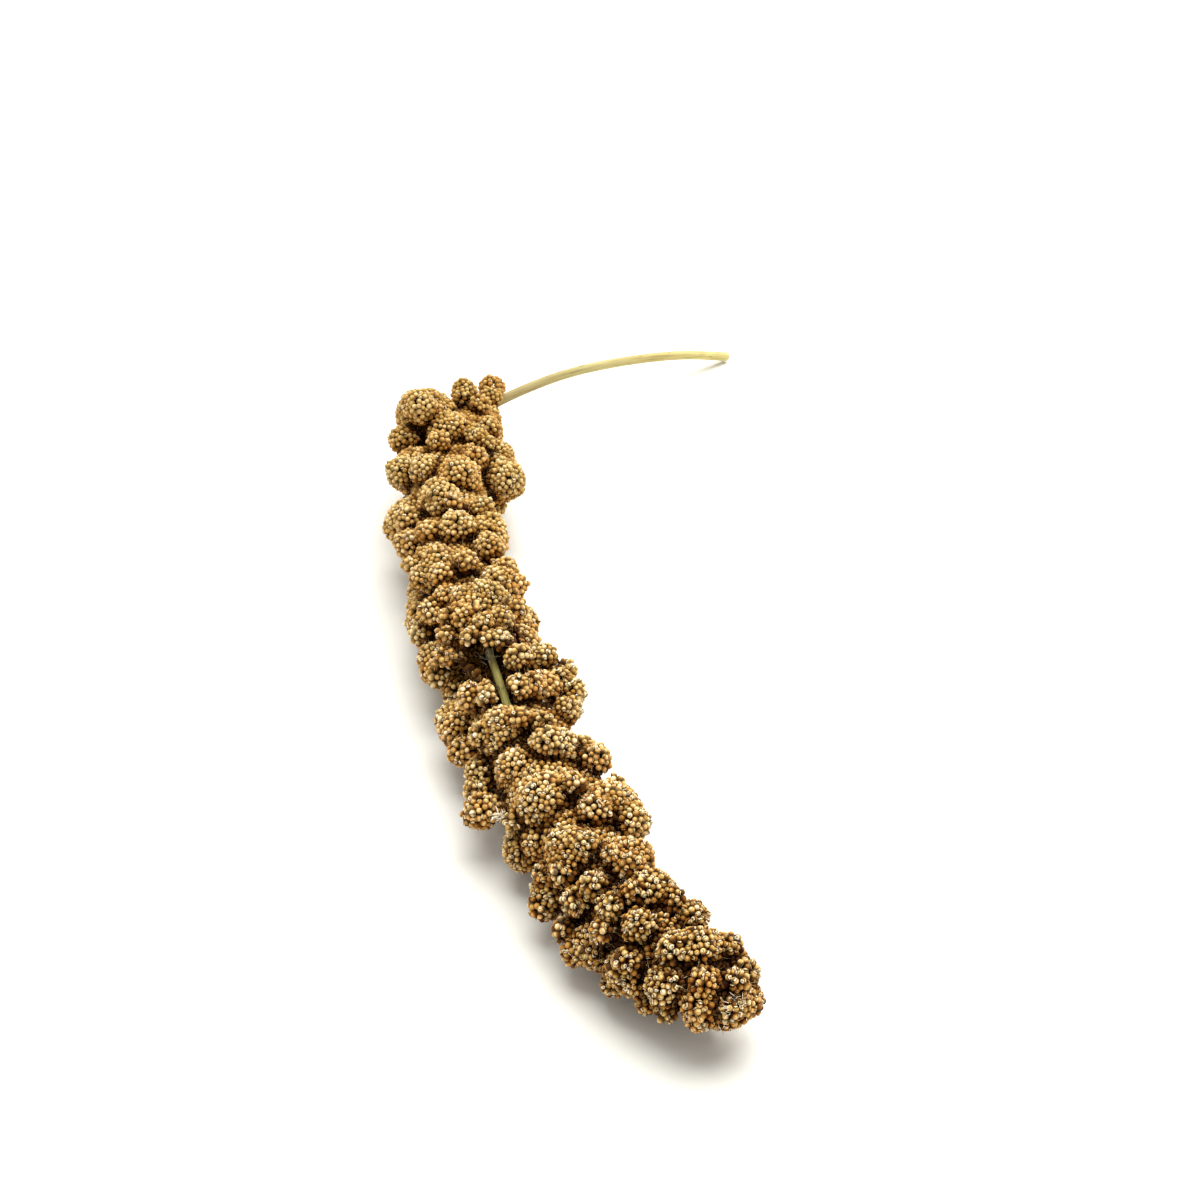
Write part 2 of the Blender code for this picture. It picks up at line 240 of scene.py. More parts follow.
# %% All the lobes
SPIRAL_TURN = 137.5
SPIRAL_STEP = 0.6
FILL_SIZE = (4.5, 7.0)
FILL_ROOM = 0.7
FILL_SEED = 11
FILL_START = 10.0
FILL_END = HEAD_LENGTH - 6
FILL_FIRST_TURN = 200.0
FILL_DIP = 2.0
UPPER_TURNS = (-10.0, 205.0)
UPPER_DIP = 2.5
TIP_TAPER = (0.7, 24.0)
FILLERS = ((17, 15, 4, 0.5), (12, 30, 4), (271, 5, 6.5, 2.5), (250, 8, 6, 2), (276, 168, 6.5, 7))


def all_lobes():
    """The lobes set by hand, then a seeded spiral of lobes in the room that they leave."""
    lobes = [lobe_at(*row) for row in UPPER_LOBES]
    draw = random.Random(FILL_SEED)
    place, turn = FILL_START, FILL_FIRST_TURN
    while place < FILL_END:
        size = draw.uniform(*FILL_SIZE) * min(1.0, TIP_TAPER[0] + (1 - TIP_TAPER[0]) * place / TIP_TAPER[1])
        upper = UPPER_TURNS[0] < (turn + 90) % 360 - 90 < UPPER_TURNS[1]
        lobe = lobe_at(place, turn, size, -draw.uniform(0, FILL_DIP) - upper * UPPER_DIP)
        far = [np.linalg.norm(lobe.centre - q.centre) > FILL_ROOM * (size + q.size) for q in lobes]
        if all(far) and not in_gap(lobe.centre, WINDOW, size):
            lobes.append(lobe)
        place += SPIRAL_STEP
        turn += SPIRAL_TURN
    return lobes


LOBES = all_lobes() + [lobe_at(*row) for row in FILLERS]
print(len(LOBES), "lobes, half widths", min(q.size for q in LOBES), "to", max(q.size for q in LOBES))

# %% [markdown]
# ## Lumps on the lobes
#
# Seen closer, a lobe isn't an even ball either. Its branch forks again, and each fork holds a knot of six
# to ten grains. So each lobe becomes a smaller core with knots spread over it. All these balls together
# form one surface, on which the middles of the grains lie.

# %% Cores and knots
SEAT = 0.8
KNOT_DIP = 0.55
KNOT_RADIUS = (1.9, 2.9)
KNOT_LIMIT = 0.55
KNOT_RISE = 0.35
KNOT_COVER = 2.3
KNOT_SCATTER = 0.16
KNOT_VARIETY = (0.85, 1.15)
CORE_SHARE = 0.64
CORE_SPAN = (12.0, 306.0)
CORE_STEP = 7.0
PHASES = (0, 6)
Lump = namedtuple("Lump", "centre turn axes lobe")
shape_draw = np.random.default_rng(5)


def basis(direction):
    """Three directions as columns, the third the given one."""
    side = (1, 0, 0) if abs(direction[0]) < 0.9 else (0, 1, 0)
    first = unit(np.cross(side, direction))
    return np.stack([first, np.cross(direction, first), direction], 1)


def spread(count, phase=0.0):
    """Evenly spread directions, by the golden angle."""
    i = np.arange(count)
    height = 1 - (2 * i + 1) / count
    ring = np.sqrt(1 - height**2)
    angle = math.radians(SPIRAL_TURN) * i + phase
    return np.stack([ring * np.cos(angle), ring * np.sin(angle), height], 1)


def lumps_of(number, lobe):
    """A lobe's core and the knots of grains spread over it."""
    turn = basis(lobe.direction)
    size = lobe.size - SEAT
    axes = np.array([1, 1, LOBE_STRETCH])
    lumps = [Lump(lobe.centre, turn, (size - KNOT_DIP) * axes, number)]
    radius = min(shape_draw.uniform(*KNOT_RADIUS), KNOT_LIMIT * size)
    count = round(KNOT_COVER * (size / radius) ** 2)
    for way in spread(count, shape_draw.uniform(*PHASES)):
        way = unit(way + shape_draw.normal(0, KNOT_SCATTER, 3))
        knot = radius * shape_draw.uniform(*KNOT_VARIETY)
        reach = np.linalg.norm(way * axes) * size + shape_draw.uniform(-KNOT_RISE, KNOT_RISE)
        centre = lobe.centre + turn @ (unit(way * axes) * (reach - knot))
        lumps.append(Lump(centre, turn, np.full(3, knot), number))
    return lumps


LUMPS = [lump for number, lobe in enumerate(LOBES) for lump in lumps_of(number, lobe)]
for s in np.arange(*CORE_SPAN, CORE_STEP):
    radius = CORE_SHARE * outline(s) - SEAT
    if not in_gap(axis_point(s), WINDOW, radius / 2):
        LUMPS.append(Lump(axis_point(s), np.eye(3), np.full(3, radius), -1))
print(len(LUMPS), "lumps under the grains")

# %% The surface that the lumps form
BLEND = 0.4
LUMP_REACH = 2.0
STRONGEST = 30


def on_lumps(points):
    """How high points are over the lumps, less than 0 inside, with the way out and the nearest lobe."""
    total = np.full(len(points), 1e-9)
    strongest = np.zeros(len(points))
    out = np.zeros((len(points), 3))
    lobe = np.full(len(points), -1)
    order = np.argsort(points[:, 1])
    sorted_y = points[order, 1]
    for lump in LUMPS:
        reach = lump.axes[2] + LUMP_REACH
        first, last = np.searchsorted(sorted_y, (lump.centre[1] - reach, lump.centre[1] + reach))
        near = order[first:last]
        local = (points[near] - lump.centre) @ lump.turn / lump.axes
        far = np.linalg.norm(local, axis=1)
        weight = np.exp(np.clip((1 - far) * lump.axes[0] / BLEND, -STRONGEST, STRONGEST))
        total[near] += weight
        out[near] += (weight / np.maximum(far, 1e-6))[:, None] * (local / lump.axes) @ lump.turn.T
        stronger = near[weight > strongest[near]]
        strongest[near] = np.maximum(strongest[near], weight)
        lobe[stronger] = lump.lobe
    return -BLEND * np.log(total), unit(out + 1e-12), lobe


# %% [markdown]
# ## Where the grains sit
#
# Grains touch all round, without overlaps or bald spots. Points thrown at random leave both. So the
# surface is covered with far too many points, a random walk drops every one that is too near to one
# already kept, and those that stay then push each other apart, until the spaces between them are nearly
# even.

# %% Far too many points
PITCH = 1.43
CROWD = 0.5
CROWD_DIP = 1.6
FLOOR_LEVEL = 0.85
place_draw = np.random.default_rng(8)


def crowd_of_points():
    """Many points on the outside of the lumps, and on the flat undersides."""
    groups = []
    for lump in LUMPS:
        area = 4 * math.pi * lump.axes[0] * lump.axes[2]
        ways = spread(int(area / (CROWD * PITCH) ** 2), place_draw.uniform(*PHASES))
        groups.append(lump.centre + (ways * lump.axes) @ lump.turn.T)
    points = np.vstack(groups)
    points = points[points[:, 2] > FLOOR_LEVEL]
    height, out, _ = on_lumps(points)
    points = (points - out * height[:, None])[height > -CROWD_DIP * BLEND]
    points = points[points[:, 2] > FLOOR_LEVEL]
    rows = [np.arange(row.min(), row.max(), CROWD * PITCH) for row in points.T[:2]]
    grid = np.stack(np.meshgrid(*rows), -1).reshape(-1, 2)
    floor = np.column_stack([grid, np.full(len(grid), FLOOR_LEVEL)])
    floor = floor[on_lumps(floor)[0] < 0]
    return np.vstack([points, floor])


# %% Thinned out and pushed apart
KEEP_APART = 0.78
LAST_APART = 0.62
PUSHES = 7
PUSH_SHARE = 0.35


def tree_of(points):
    """A search tree of points."""
    tree = kdtree.KDTree(len(points))
    for i, point in enumerate(points):
        tree.insert(point, i)
    tree.balance()
    return tree


def neighbours(points, tree, reach):
    """The numbers of all pairs of points that are nearer to each other than a reach."""
    pairs = [(i, j) for i, point in enumerate(points) for _, j, _ in tree.find_range(point, reach) if i != j]
    return np.array(pairs).T


def kept_apart(points, apart, order):
    """The numbers of the points to keep, so that none is too near to one kept earlier in the order."""
    tree = tree_of(points)
    free = np.ones(len(points), bool)
    kept = []
    for i in order:
        if free[i]:
            kept.append(i)
            free[[j for _, j, _ in tree.find_range(points[i], apart)]] = False
    return sorted(kept)


def thin_out(points, apart):
    """Drops points that are too near to one already kept, in random order."""
    return points[kept_apart(points, apart, place_draw.permutation(len(points)))]


def push_apart(points):
    """Moves points away from near neighbours, back on to the surface and up to the floor level."""
    first, second = neighbours(points, tree_of(points), PITCH)
    away = points[first] - points[second]
    far = np.linalg.norm(away, axis=1, keepdims=True)
    shift = np.zeros_like(points)
    np.add.at(shift, first, away / np.maximum(far, 1e-6) * (PITCH - far) * PUSH_SHARE)
    moved = points + shift
    height, out, _ = on_lumps(moved)
    low = moved[:, 2] <= FLOOR_LEVEL
    moved = np.where(low[:, None], moved, moved - out * height[:, None])
    moved[:, 2] = np.maximum(moved[:, 2], FLOOR_LEVEL)
    return moved


# %% [markdown]
# ## The walls of the gap
#
# The gap cuts through lobes, and a cut lobe would show that it is hollow. So the walls of the gap get
# points of their own, wherever they are inside the head and don't stand on the bare axis.

# %% Points on the walls
WALL_ROOM = 0.5
WALL_COVER = 1.2
GAP_STATIONS = np.arange(100.0, 200.0)
AXIS_ROOM = 3.2
OVER_AXIS = (4, 4, -6.5)


def in_head(points):
    """True for points inside the lobes or the core of the head."""
    s = np.arange(*CORE_SPAN, 2.0)
    reach = np.array([CORE_SHARE * outline(place) for place in s])
    inside = (np.linalg.norm(points[:, None] - axis_point(s), axis=2) < reach).any(1)
    for lobe in LOBES:
        local = (points - lobe.centre) @ basis(lobe.direction) / (lobe.size * np.array([1, 1, LOBE_STRETCH]))
        inside |= (local**2).sum(1) < 1
    return inside


def off_axis(points, room):
    """True for points that leave some room round the axis in the gap."""
    return (np.linalg.norm(points[:, None] - axis_point(GAP_STATIONS), axis=2) > room).all(1)


def gap_wall(gap):
    """Points on the walls of a gap, where they are inside the head, and the way into the gap."""
    ways = spread(int(4 * math.pi * (np.prod(gap.half) ** (2 / 3)) * WALL_COVER / PITCH**2))
    wall = gap.centre + (ways * (gap.half + SEAT)) @ gap.turn.T
    inward = -unit(ways / gap.half) @ gap.turn.T
    local = (wall - WINDOW.centre) @ WINDOW.turn
    ahead, aside, low = OVER_AXIS
    over_axis = (local[:, 0] < ahead) & (abs(local[:, 1]) < aside) & (local[:, 2] > low)
    shown = off_axis(wall, AXIS_ROOM) & ~over_axis & in_head(wall) & ~in_gaps(wall, 0)
    return wall[shown], inward[shown]


# %% The places of all grains
DEPTH_REACH = 4.5
DEEPEST = 0.3
# How deep the grains on the walls of the gap count as, which sets their painted shade.
WALL_PAINTED_SHADE = (0.5, 0.82)
IN_WALL = -2
FLAT_DIP = 0.2


def how_deep(points, out, tree):
    """How much the grains round each one rise over it: 0 on a crown, 1 in a cleft."""
    first, second = neighbours(points, tree, DEPTH_REACH)
    rise = (unit(points[second] - points[first]) * out[first]).sum(1)
    total = np.bincount(first, np.maximum(rise, 0), len(points))
    count = np.bincount(first, minlength=len(points))
    return np.clip(total / np.maximum(count, 1) / DEEPEST, 0, 1)


points = thin_out(crowd_of_points(), KEEP_APART * PITCH)
for _ in range(PUSHES):
    points = push_apart(points)
points = thin_out(points, LAST_APART * PITCH)
points = points[~in_gaps(points, WALL_ROOM)]
height, out, lobe_of = on_lumps(points)
out[(points[:, 2] < FLOOR_LEVEL + 0.1) & (height < -FLAT_DIP)] = (0, 0, -1)
for gap in (WINDOW, CLEFT):
    wall, inward = gap_wall(gap)
    tree = tree_of(points)
    far = np.array([tree.find(point)[2] for point in wall]) > KEEP_APART * PITCH
    points = np.vstack([points, wall[far]])
    out = np.vstack([out, inward[far]])
    lobe_of = np.append(lobe_of, np.full(far.sum(), IN_WALL))
tree = tree_of(points)
near = np.array([[d for _, _, d in tree.find_n(point, 6)][1:] for point in points])
depth = how_deep(points, out, tree)
# Grains on the walls of the gap get a random depth, for their painted shade.
depth = np.where(lobe_of == IN_WALL, place_draw.uniform(*WALL_PAINTED_SHADE, len(depth)), depth)
print(len(points), "grains, mean distance to the nearest five", round(float(near.mean()), 2), "mm")

# %% [markdown]
# ## One grain, copied
#
# A grain is a plump ovoid with a blunt beak. A sphere with seven sides and four rings is enough when it is
# copied so often. Particles or instances would be lighter, but they are lost when the model is exported.
# So each copy becomes real faces, with its own numbers for the colours and its own cell in the bake map.

# %% From a bmesh to an object
def mesh_from(bm, name):
    """Makes a mesh of a bmesh."""
    mesh = bpy.data.meshes.new(name)
    bm.to_mesh(mesh)
    bm.free()
    return mesh


def add_object(name, data):
    """Puts a mesh, a light or a camera into the scene."""
    obj = bpy.data.objects.new(name, data)
    bpy.context.scene.collection.objects.link(obj)
    return obj


# %% Template grains
SIDES_AND_RINGS = (7, 4)
HIDDEN_ONES = (5, 3)
GROOVES_AND_BEAKS = ((0.0, 0.06), (0.14, 0.0), (0.05, 0.22))


def grain_template(sides, rings, groove, beak):
    """A grain of half width 1 that points along +Z, with a groove over its top and a beak."""
    bm = bmesh.new()
    bmesh.ops.create_uvsphere(bm, u_segments=sides, v_segments=rings, radius=1.0)
    top = [v for v in bm.verts if v.co.z > 0.6 and v.co.xy.length > 0.1]
    middle = [v for v in bm.verts if abs(v.co.z) < 0.1]
    low = [v for v in bm.verts if v.co.z < -0.6 and v.co.xy.length > 0.1]
    bmesh.ops.translate(bm, verts=top, vec=(0, 0, 0.05))
    bmesh.ops.scale(bm, verts=top, vec=(0.95, 0.95, 1))
    bmesh.ops.translate(bm, verts=middle, vec=(0, 0, 0.12))
    bmesh.ops.scale(bm, verts=low, vec=(1.1, 1.1, 0.9))
    seam = [v for v in bm.verts if abs(v.co.x) < 0.05 and v.co.z > 0.3]
    bmesh.ops.scale(bm, verts=seam, vec=(1, 1 - groove, 1 - groove))
    pole = [v for v in bm.verts if v.co.z > 0.9 and v.co.xy.length < 0.1]
    bmesh.ops.translate(bm, verts=pole, vec=(0, beak * 0.5, beak))
    return mesh_from(bm, "grain_template")


GRAIN_TEMPLATES = [grain_template(*SIDES_AND_RINGS, *marks) for marks in GROOVES_AND_BEAKS]
HIDDEN_TEMPLATE = grain_template(*HIDDEN_ONES, 0.0, 0.0)


# %% Piles of copies
CELL_FILL = 0.9


def disc_map(mesh):
    """Flattens a ball into a disc: the top in the middle, the underside round the rim."""
    flat = np.zeros((len(mesh.loops), 2))
    for face in mesh.polygons:
        for loop in face.loop_indices:
            way = mesh.vertices[mesh.loops[loop].vertex_index].co.normalized()
            side = way.xy if way.xy.length > 0.1 else face.center.xy
            flat[loop] = side.normalized() * way.angle((0, 0, 1)) / math.pi / 2
    return flat


class Pile:
    """Many copies of small meshes, gathered into one mesh."""

    def __init__(self):
        self.places, self.corners, self.starts, self.flat, self.cell = [], [], [], [], []
        self.numbers = {}
        self.points = self.loops = self.copies = 0

    def add(self, mesh, centres, turns, sizes, **numbers):
        """Adds a copy of a mesh at each centre, scaled and then turned, with its own numbers."""
        co = np.array([v.co for v in mesh.vertices])
        corner = np.array([loop.vertex_index for loop in mesh.loops])
        start = np.array([face.loop_start for face in mesh.polygons])
        count = len(centres)
        each = np.arange(count)[:, None]
        placed = np.einsum("nij,nkj->nki", turns, co[None] * sizes[:, None, :]) + centres[:, None]
        self.places.append(placed.reshape(-1, 3))
        self.corners.append((corner + each * len(co) + self.points).ravel())
        self.starts.append((start + each * len(corner) + self.loops).ravel())
        self.flat.append(np.tile(disc_map(mesh), (count, 1)))
        self.cell.append(np.repeat(np.arange(count) + self.copies, len(corner)))
        for name, values in numbers.items():
            self.numbers.setdefault(name, []).append(np.repeat(values, len(co)))
        self.numbers.setdefault("in_piece", []).append(np.tile(co, (count, 1)))
        self.points += count * len(co)
        self.loops += count * len(corner)
        self.copies += count

    def piece(self, name, finish):
        """Makes the mesh, with its bake map and numbers, and its object."""
        mesh = bpy.data.meshes.new(name)
        co, corners, starts = (np.concatenate(part) for part in (self.places, self.corners, self.starts))
        layers = (
            (mesh.vertices, "co", co * MM), (mesh.loops, "vertex_index", corners),
            (mesh.polygons, "loop_start", starts),
        )
        for layer, field, values in layers:
            layer.add(len(values))
            layer.foreach_set(field, values.ravel())
        mesh.update()
        mesh.shade_smooth()
        grid = math.ceil(math.sqrt(self.copies))
        cell = np.concatenate(self.cell)
        flat = (np.stack([cell % grid, cell // grid], 1) + 0.5 + CELL_FILL * np.concatenate(self.flat)) / grid
        mesh.uv_layers.new(name="OFBake").uv.foreach_set("vector", flat.ravel())
        for key, parts in self.numbers.items():
            values = np.concatenate(parts).astype(np.float32)
            kind, field = ("FLOAT_VECTOR", "vector") if values.ndim > 1 else ("FLOAT", "value")
            mesh.attributes.new(key, kind, "POINT").data.foreach_set(field, values.ravel())
        mesh.materials.append(finish)
        print(name, self.copies, "copies,", sum(len(f.vertices) - 2 for f in mesh.polygons), "triangles")
        return add_object(name, mesh)


# %% [markdown]
# ## Finishes
#
# Dry millet runs from orange brown to a pale khaki, grain by grain, and whole lobes lean to one or the
# other. On top of that, grains that face up are painted paler, which is painted light. The foot of a grain
# is darkened, partly stained brown by its husks and partly painted shade where the grains meet, and its
# top carries a painted highlight. The seam is a fine dark line between pale lips. Grains on crowns get
# painted light, and grains in clefts and in the walls of the gap get painted shade. Each is a layer over
# the last in one material, driven by the numbers that each copy carries.

# %% Helpers for materials
def new_material(name, roughness, gleam=0.2):
    """A material with its node tree and shader."""
    material = bpy.data.materials.new(name)
    material.use_nodes = True
    shader = material.node_tree.nodes["Principled BSDF"]
    shader.inputs["Roughness"].default_value = roughness
    shader.inputs["Specular IOR Level"].default_value = gleam
    return material, material.node_tree, shader


def add_node(tree, kind, links=None, **settings):
    """A node with its settings, and its inputs linked or set, by name or number."""
    node = tree.nodes.new("ShaderNode" + kind)
    for name, value in settings.items():
        setattr(node, name, value)
    for name, value in (links or {}).items():
        socket = node.inputs[name]
        if isinstance(value, bpy.types.NodeSocket):
            tree.links.new(value, socket)
        else:
            socket.default_value = value
    return node


def ramp(tree, factor, stops):
    """A colour ramp through stops, each a position and a colour or a level of grey."""
    node = add_node(tree, "ValToRGB", {"Fac": factor})
    elements = node.color_ramp.elements
    while len(elements) < len(stops):
        elements.new(0.5)
    for element, (position, colour) in zip(elements, stops):
        element.position = position
        element.color = (*colour, 1) if isinstance(colour, tuple) else (colour, colour, colour, 1)
    return node.outputs["Color"]


def mix(tree, factor, first, second, blend="MIX"):
    """One colour laid over another, which may be a tuple."""
    second = (*second, 1) if isinstance(second, tuple) else second
    links = {0: factor, 6: first, 7: second}
    return add_node(tree, "Mix", links, data_type="RGBA", blend_type=blend).outputs[2]


def multiply(tree, first, second):
    """Two colours multiplied."""
    return mix(tree, 1.0, first, second, "MULTIPLY")


def work_out(tree, operation, first, second):
    """A sum, product or quotient of two numbers."""
    return add_node(tree, "Math", {0: first, 1: second}, operation=operation).outputs[0]


def attribute(tree, name, output="Fac"):
    """A number or vector that the mesh carries."""
    return add_node(tree, "Attribute", attribute_name=name).outputs[output]


def own_place(tree):
    """The place in the head, for patterns."""
    return add_node(tree, "TexCoord").outputs["Object"]


def noise(tree, vector, scale, detail=2.0):
    """Soft noise from 0 to 1."""
    return add_node(tree, "TexNoise", {"Vector": vector, "Scale": scale, "Detail": detail}).outputs["Fac"]


def dent(tree, shader, height, depth, strength):
    """Small dents in the surface, to a depth in metres."""
    bump = add_node(tree, "Bump", {"Height": height, "Distance": depth, "Strength": strength})
    tree.links.new(bump.outputs["Normal"], shader.inputs["Normal"])


# %% Ripe grain
FLAP_CENTRE = (0.85, 0.0, 0.55)
SLIT_CENTRE = (0.1, 0.1, 1.0)
LIP_CENTRE = (0.32, 0.1, 0.95)
HULL_COLOURS = (
    (0.0, (0.27, 0.120, 0.022)), (0.2, (0.46, 0.242, 0.050)), (0.5, (0.62, 0.392, 0.118)),
    (0.8, (0.77, 0.560, 0.240)), (1.0, (0.94, 0.785, 0.460)),
)
# Orange brown to pale and cool: each lobe's random colour, plus painted light that makes upward grains paler.
TONE_AND_TOP_LIGHT_COLOURS = ((0.1, (1.0, 0.83, 0.62)), (0.5, 1), (0.9, (0.96, 1.05, 1.12)))
# Up a grain: its foot dark brown, partly stained and partly painted shade where neighbours meet, its top a
# bluish-white painted highlight.
FOOT_STAIN_AND_SHADE_TO_TOP_HIGHLIGHT = (
    (0.16, (0.07, 0.022, 0.003)), (0.35, (0.28, 0.12, 0.018)), (0.55, (0.70, 0.51, 0.26)),
    (0.76, (1.0, 0.98, 0.94)), (0.98, (1.42, 1.54, 2.15)),
)
# By how deep a grain sits: painted light on the crowns, painted shade down in the clefts.
CROWN_LIGHT_TO_CLEFT_SHADE = (
    (0.05, (1.16, 1.20, 1.34)), (0.25, (0.99, 0.94, 0.82)), (0.42, (0.78, 0.65, 0.45)),
    (0.6, (0.46, 0.32, 0.17)), (0.82, (0.08, 0.04, 0.012)),
)
PALE_LIP = (0.92, 0.80, 0.52)
DARK_SLIT = (0.07, 0.028, 0.010)


def distance_to(tree, spot):
    """The distance from a spot of the grain, in half widths."""
    links = {0: attribute(tree, "in_piece", "Vector"), 1: spot}
    return add_node(tree, "VectorMath", links, operation="DISTANCE").outputs["Value"]


def grain_material():
    """The hull of the grains."""
    material, tree, shader = new_material("ripe_grain_hull", 0.5, 0.06)
    place = own_place(tree)
    colour = ramp(tree, attribute(tree, "tint"), HULL_COLOURS)
    # Each lobe's random colour, with painted light: upward grains paler, downward ones more orange.
    colour = multiply(tree, colour, ramp(tree, attribute(tree, "tone"), TONE_AND_TOP_LIGHT_COLOURS))
    mottle = ramp(tree, noise(tree, place, 2600, 3), ((0.3, 0.72), (0.7, 1.15)))
    colour = multiply(tree, colour, mottle)
    parts = add_node(tree, "SeparateXYZ", {"Vector": attribute(tree, "in_piece", "Vector")}).outputs
    # Painted shade at each grain's foot, partly real staining, and a painted highlight on its top.
    foot = ramp(tree, parts["Z"], FOOT_STAIN_AND_SHADE_TO_TOP_HIGHLIGHT)
    colour = mix(tree, attribute(tree, "stain"), colour, multiply(tree, colour, foot))
    bow = work_out(tree, "ADD", distance_to(tree, FLAP_CENTRE), noise(tree, place, 1500))
    bow = work_out(tree, "MULTIPLY", bow, 0.5)
    lip = ramp(tree, bow, ((0.37, 0), (0.43, 0.85), (0.53, 0.85), (0.56, 0)))
    seam = ramp(tree, bow, (
        (0.53, 1), (0.58, (0.07, 0.03, 0.012)), (0.70, (0.10, 0.05, 0.02)), (0.76, 1),
    ))
    husked = mix(tree, lip, multiply(tree, colour, seam), PALE_LIP)
    colour = mix(tree, attribute(tree, "seam"), colour, husked)
    in_slit = ramp(tree, distance_to(tree, SLIT_CENTRE), ((0.42, 1), (0.5, 0)))
    off_lip = ramp(tree, distance_to(tree, LIP_CENTRE), ((0.42, 0), (0.5, 1)))
    slit = multiply(tree, in_slit, off_lip)
    colour = mix(tree, attribute(tree, "slit"), colour, mix(tree, slit, colour, DARK_SLIT))
    # Painted light on crowns and painted shade in clefts.
    colour = multiply(tree, colour, ramp(tree, attribute(tree, "depth"), CROWN_LIGHT_TO_CLEFT_SHADE))
    tree.links.new(colour, shader.inputs["Base Color"])
    gloss = ramp(tree, noise(tree, place, 900), ((0.35, 0.36), (0.7, 0.6)))
    tree.links.new(gloss, shader.inputs["Roughness"])
    dent(tree, shader, noise(tree, place, 3400, 3), 0.00006, 0.5)
    return material


GRAIN_HULL = grain_material()

# %% [markdown]
# ## The grains
#
# A grain is as wide as the room between its neighbours, so the pile stays tight where the lumps bend. It
# points out of the surface with a small random tilt. Toward the tip the grains vary more, show more seams
# and have browner, darker feet, partly stained and partly painted shade. Grains that face up are made
# paler, as painted light. The branch they grow on decides which of five pieces they belong to, so that
# every mesh stays small.

# %% Placing the grains
GRAIN_PIECES = 5
WIDTH_SHARE = 0.568
WIDTH_LIMITS = (0.5, 0.95)
WIDTH_VARIETY = (0.88, 1.1)
LENGTHS = (1.0, 1.18)
LIFT = 0.17
TILT = 0.3
TINT_MIDDLE = ((-170, -90, 0, 50, 105), (0.36, 0.55, 0.50, 0.46, 0.34))
TINT_VARIETY = ((-170, 20, 105), (0.95, 0.65, 0.45))
TINT_BELL = (2.2, 2.0)
LOBE_TONE = 0.55
# Painted light: how much paler grains that face up are made.
UPWARD_PAINTED_LIGHT = 0.45
TONE_VARIETY = 0.08
SEAM_SHARE = ((-170, -120, 0), (0.8, 0.55, 0.14))
SLIT_SHARE = ((-170, -120, 0, 105), (0.2, 0.34, 0.26, 0.12))
# How strongly the stained, painted-shade foot and the painted highlight on the top show.
STAIN_AND_SHADE = ((-170, -120, 0, 105), (1.0, 0.9, 0.65, 0.45))
KIND_SHARES = (0.45, 0.33, 0.22)
HIDDEN_BELOW = -0.35
grain_draw = np.random.default_rng(21)


def tilted(directions, tilt):
    """Bases whose third direction is each given one with a random tilt, turned at random round it."""
    lean = unit(directions + grain_draw.normal(0, tilt, directions.shape))
    side = unit(np.cross(lean, unit(grain_draw.normal(0, 1, lean.shape))))
    return np.stack([side, np.cross(lean, side), lean], 2)


def make_grains():
    """The pieces that hold the grains, and the grains' places, turns and sizes."""
    count = len(points)
    y = points[:, 1]
    width = np.clip(near.mean(1) * WIDTH_SHARE, *WIDTH_LIMITS) * grain_draw.uniform(*WIDTH_VARIETY, count)
    lift = grain_draw.normal(0.0, LIFT, count)
    centres = points + out * lift[:, None]
    centres[:, 2] = np.maximum(centres[:, 2], FLOOR_LEVEL)
    turns = tilted(out, TILT)
    stretch = np.stack([np.ones(count), np.ones(count), grain_draw.uniform(*LENGTHS, count)], 1)
    sizes = np.minimum(width[:, None] * stretch, centres[:, 2:3])
    variety = np.interp(y, *TINT_VARIETY)
    tint = np.interp(y, *TINT_MIDDLE) + (grain_draw.beta(*TINT_BELL, count) - 0.5) * variety
    tones = grain_draw.uniform(0, 1, len(LOBES) + 1)
    # Each lobe's random colour, plus painted light from the way the grain faces.
    tone = LOBE_TONE * tones[lobe_of] + UPWARD_PAINTED_LIGHT * (out[:, 2] + 0.5) / 1.5
    tone = tone + grain_draw.normal(0, TONE_VARIETY, count)
    marked = grain_draw.uniform(0, 1, count)
    numbers = {"tint": np.clip(tint, 0, 1), "tone": np.clip(tone, 0, 1)}
    numbers["seam"] = (marked < np.interp(y, *SEAM_SHARE)) * grain_draw.uniform(0.6, 1, count)
    numbers["slit"] = (1 - marked < np.interp(y, *SLIT_SHARE)) * grain_draw.uniform(0.5, 1, count)
    # Strength of the foot's staining and painted shade, and of the top's painted highlight.
    numbers["stain"] = np.interp(y, *STAIN_AND_SHADE) * grain_draw.uniform(0.8, 1, count)
    # How deep each grain sits, for painted shade in clefts and painted light on crowns.
    numbers["depth"] = depth
    kind = grain_draw.choice(len(GRAIN_TEMPLATES), count, p=KIND_SHARES)
    kind[out[:, 2] < HIDDEN_BELOW] = len(GRAIN_TEMPLATES)
    share_of = np.where(lobe_of < 0, np.arange(count), lobe_of) % GRAIN_PIECES
    made = []
    for share in range(GRAIN_PIECES):
        pile = Pile()
        for k, template in enumerate([*GRAIN_TEMPLATES, HIDDEN_TEMPLATE]):
            these = (share_of == share) & (kind == k)
            of_these = {name: values[these] for name, values in numbers.items()}
            pile.add(template, centres[these], turns[these], sizes[these], **of_these)
        made.append(pile.piece(f"grains_{share + 1}", GRAIN_HULL))
    return made, centres, turns, sizes


grain_pieces, grain_centres, grain_turns, grain_sizes = make_grains()

# %% [markdown]
# ## Husks
#
# Around the foot of many grains a papery husk has stayed, a thin pale scale that hugs one side and catches
# the light on its edge. It is a small grid, bent round a ball, drawn in to a blunt point at its top, and
# given a thickness.

